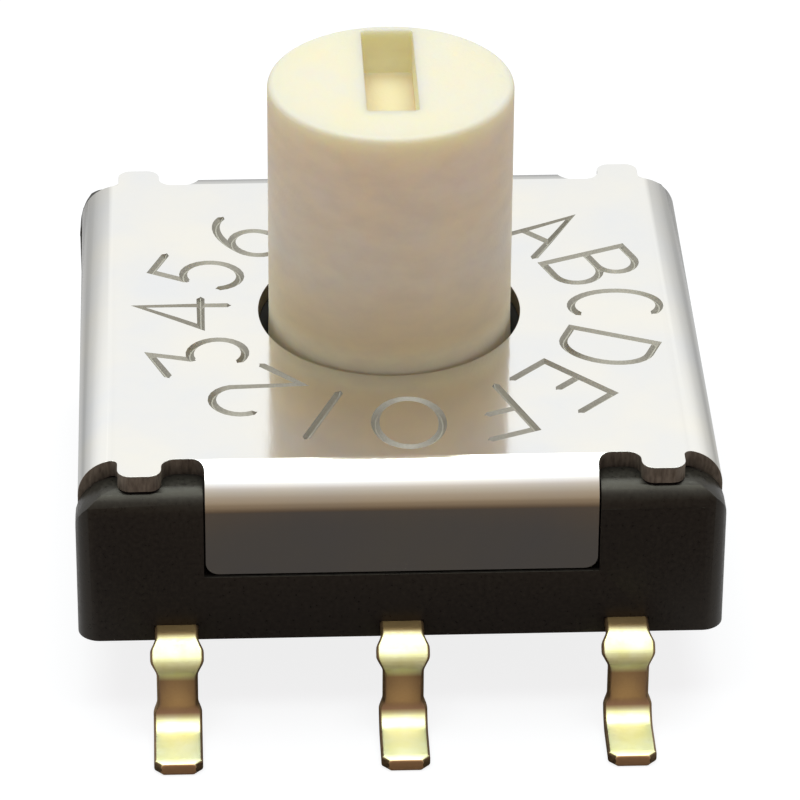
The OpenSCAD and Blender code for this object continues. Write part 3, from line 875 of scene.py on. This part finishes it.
for title, (side, column, heading) in LEADS.items():
    x = column * pitch
    spring_low, spring_high = node_box("contact_" + title)
    pad_x = (spring_low[0] + spring_high[0]) / 2
    root_y = spring_low[1] + pad_l if heading > 0 else spring_high[1] - pad_l
    pad_ends = root_y - heading * (pad_l + pad_margin), root_y + heading * pad_margin
    edge_y = side * (half - overlap)
    far_y = min(pad_ends) if side > 0 else max(pad_ends)
    lead = face_outwards(lead_sweep("lead_" + title, x, side))
    strip = box_outline((x, (edge_y + far_y) / 2), (strip_w, abs(edge_y - far_y)))
    pad = box_outline(((x + pad_x) / 2, sum(pad_ends) / 2),
                      (abs(x - pad_x) + strip_w, abs(pad_ends[0] - pad_ends[1])))
    for outline in (strip, pad):
        carve(lead, prism("strip", outline, lead_low, lead_low + lead_t), "UNION")
    # The lead is moulded in, and its spring rises through a well in the floor
    carve(base, merged_copy("terminal_" + title))
    well_l = pad_l + pad_margin + well_ahead
    well_y = root_y + heading * (well_ahead - pad_margin - pad_l) / 2
    carve(base, prism("well", box_outline((pad_x, well_y), (well_w, well_l)), lead_low + lead_t,
                      floor_top + past))
    lead.data.materials.clear()
    for material in (gold, lead_side_shade):
        lead.data.materials.append(material)
    paint_shade_on_lead_sides(lead)
    shade_smooth(lead, 50)
    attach(lead, "housing")
    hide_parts("terminal_" + title)

# ---------------------------------------------------------------- Inside and underneath
# The gasket, code disc, click spring and contact springs are closed in by the cover, and cast
# resin seals the leads into the base from below. Their solids stay as they are.


def finish_node(node, material):
    """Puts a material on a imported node."""
    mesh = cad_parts[node].data
    mesh.materials.clear()
    mesh.materials.append(material)


resin, add, connect = new_material("sealing_resin", Specular_IOR_Level=0.5)
cloud = noise(add, 0.8, detail=2)
connect(ramp(add, cloud, (0.014, 0.014, 0.017), (0.022, 0.022, 0.026)), "Base Color")
connect(ramp(add, cloud, 0.18, 0.32), "Roughness")
connect(bump(add, cloud, 0.01), "Normal")
finish_node("bottom_seal", resin)
finish_node("cover_gasket", rubber)

spring, add, connect = new_material("spring_steel", Metallic=1.0, Base_Color=(0.62, 0.62, 0.63, 1))
rolling = noise(add, 0.04, detail=3, stretch=(1, 10, 10))
connect(ramp(add, rolling, 0.2, 0.32), "Roughness")
connect(bump(add, rolling, 0.001), "Normal")
finish_node("click_spring", spring)
for node in ["code_disc"] + ["contact_" + title for title in LEADS]:
    finish_node(node, gold)

# ---------------------------------------------------------------- Studio
# A white table, a wide soft light over it, and a camera that looks down on the front. Metal sees
# the room round the table: white above and behind, dim and warm low down in front.


def stops(add, value, low, high, colours):
    """A colour that passes through a list of (value, colour), where the band runs from low to
    high."""
    share = add("MapRange", {0: value, 1: low, 2: high, 3: 0.0, 4: 1.0}).outputs[0]
    band = add("ValToRGB", {0: share})
    steps = band.color_ramp.elements
    while len(steps) < len(colours):
        steps.new(0.5)
    for step, (place, colour) in zip(steps, colours):
        step.position = (place - low) / (high - low)
        step.color = (*np.broadcast_to(colour, 3), 1)
    return band.outputs[0]


table_side = 600.0
table_z = -0.001                        # a micron under the feet
table_top = box_outline((0, 0), (table_side, table_side))
table = new_piece("table", np.column_stack([table_top, np.full(4, table_z)]), [range(4)])
paper, add, connect = new_material("table_paper", Roughness=1.0, Specular_IOR_Level=0.0)
nodes, links = paper.node_tree.nodes, paper.node_tree.links
nodes["Principled BSDF"].inputs["Base Color"].default_value = (0.93, 0.93, 0.93, 1)
paper.cycles.emission_sampling = "NONE"
path = add("LightPath").outputs
place = add("TexCoord").outputs["Object"]
distance = add("VectorMath", {0: place}, operation="LENGTH").outputs["Value"]
aside = add("VectorMath", {0: place}, operation="NORMALIZE").outputs[0]
aside = add("SeparateXYZ", {0: aside}).outputs["Y"]
in_front = ramp(add, aside, 1.0, 0.0, -0.88, -0.70)
# To mirrors the table glows like a lamp: dark close in front, warm further off, and grey at the
# sides
front_floor = stops(add, distance, 0.007, 0.051, [
    (0.0075, (0.063, 0.056, 0.052)), (0.0086, (0.092, 0.065, 0.046)),
    (0.0101, (0.144, 0.10, 0.066)), (0.0144, (0.228, 0.166, 0.111)),
    (0.051, (0.316, 0.242, 0.17))])
side_floor = stops(add, distance, 0.007, 0.051, [
    (0.0075, 0.55), (0.014, 0.42), (0.019, 0.44), (0.051, 0.55)])
floor = blend_colours(add, in_front, side_floor, front_floor)
mirror = add("Emission", {"Color": floor, "Strength": 1.0})
white = add("Emission", {"Color": (1, 1, 1, 1), "Strength": 1.12})
seen = add("MixShader", {0: 0.75, 1: nodes["Principled BSDF"].outputs[0], 2: white.outputs[0]})
dim = add("BsdfDiffuse", {"Color": (0.8, 0.66, 0.64, 1)})
seen = add("MixShader", {0: path["Is Camera Ray"], 1: dim.outputs[0], 2: seen.outputs[0]})
seen = add("MixShader", {0: path["Is Glossy Ray"], 1: seen.outputs[0], 2: mirror.outputs[0]})
links.new(seen.outputs[0], nodes["Material Output"].inputs["Surface"])
table.data.materials.append(paper)

world = bpy.data.worlds.new("studio")
bpy.context.scene.world = world
world.use_nodes = True
world.cycles.sampling_method = "NONE"
add = node_adder(world.node_tree)
direction = add("SeparateXYZ", {0: add("TexCoord").outputs["Generated"]}).outputs
in_front = ramp(add, direction["Y"], 1.0, 0.0, -0.35, 0.05)
front_wall = stops(add, direction["Z"], 0.0, 1.0, [
    (0.0, (0.34, 0.265, 0.19)), (0.259, (0.41, 0.335, 0.26)), (0.5, (0.53, 0.47, 0.40)),
    (0.643, (0.65, 0.59, 0.54)), (0.74, (0.88, 0.84, 0.82)), (0.82, 1.1), (0.9, 1.8)])
other_walls = stops(add, direction["Z"], 0.0, 1.0, [
    (0.0, 0.58), (0.14, 0.67), (0.208, 0.74), (0.276, 0.82), (0.342, 0.87), (0.39, 0.92),
    (0.515, 1.0), (0.62, 1.0), (0.85, 1.6)])
in_metal = blend_colours(add, in_front, other_walls, front_wall)
path = add("LightPath").outputs
# What falls on surfaces that aren't metal
room = stops(add, direction["Z"], 0.0, 1.0, [
    (0.0, (0.06, 0.04, 0.055)), (0.9, (0.36, 0.29, 0.36))])
direct = add("Math", {0: path["Diffuse Depth"], 1: 0.5}, operation="LESS_THAN").outputs[0]
by_mirror = add("Math", {0: direct, 1: path["Is Glossy Ray"]}, operation="MULTIPLY").outputs[0]
room = blend_colours(add, by_mirror, room, in_metal)
room = blend_colours(add, path["Is Camera Ray"], room, (1, 1, 1))
world.node_tree.links.new(room, world.node_tree.nodes["Background"].inputs[0])


def soft_light(name, place, aim, size, level):
    """A square area light. level is about how bright white paper at the aim looks under it: power
    is level times pi squared times the distance squared, over the cosine at which it arrives."""
    lamp = bpy.data.lights.new(name, "AREA")
    lamp.shape = "SQUARE"
    lamp.size = size
    away = Vector(place) - Vector(aim)
    lamp.energy = level * math.pi ** 2 * away.length ** 3 / away.z
    light = bpy.data.objects.new(name, lamp)
    bpy.context.scene.collection.objects.link(light)
    light.location = place
    light.rotation_euler = away.to_track_quat("Z", "Y").to_euler()
    return light


softbox = soft_light("softbox", (-0.003, 0.017, 0.12), (0, 0, 0.003), 0.12, 1.03)
softbox.data.color = (0.95, 1.07, 1.04)

azimuth, elevation, roll = math.radians(-2.67), math.radians(31.15), math.radians(0.42)
distance = 0.06266
aim = Vector((0, 0, 0.00195))
to_right, down = 0.000131, 0.000079     # from that point to the middle of the view
back = Vector((math.sin(azimuth) * math.cos(elevation), -math.cos(azimuth) * math.cos(elevation),
               math.sin(elevation)))
right = Vector((math.cos(azimuth), math.sin(azimuth), 0))
up = back.cross(right)
aim += right * to_right - up * down
tilted_right = right * math.cos(roll) + up * math.sin(roll)
tilted_up = up * math.cos(roll) - right * math.sin(roll)
camera = bpy.data.objects.new("camera", bpy.data.cameras.new("camera"))
bpy.context.scene.collection.objects.link(camera)
camera.matrix_world = Matrix.Translation(aim + back * distance) @ Matrix(
    (tilted_right, tilted_up, back)).transposed().to_4x4()
camera.data.sensor_width = 36
camera.data.lens = 239.2
camera.data.clip_start = 0.001
bpy.context.scene.camera = camera
bpy.context.scene.view_settings.view_transform = "Standard"
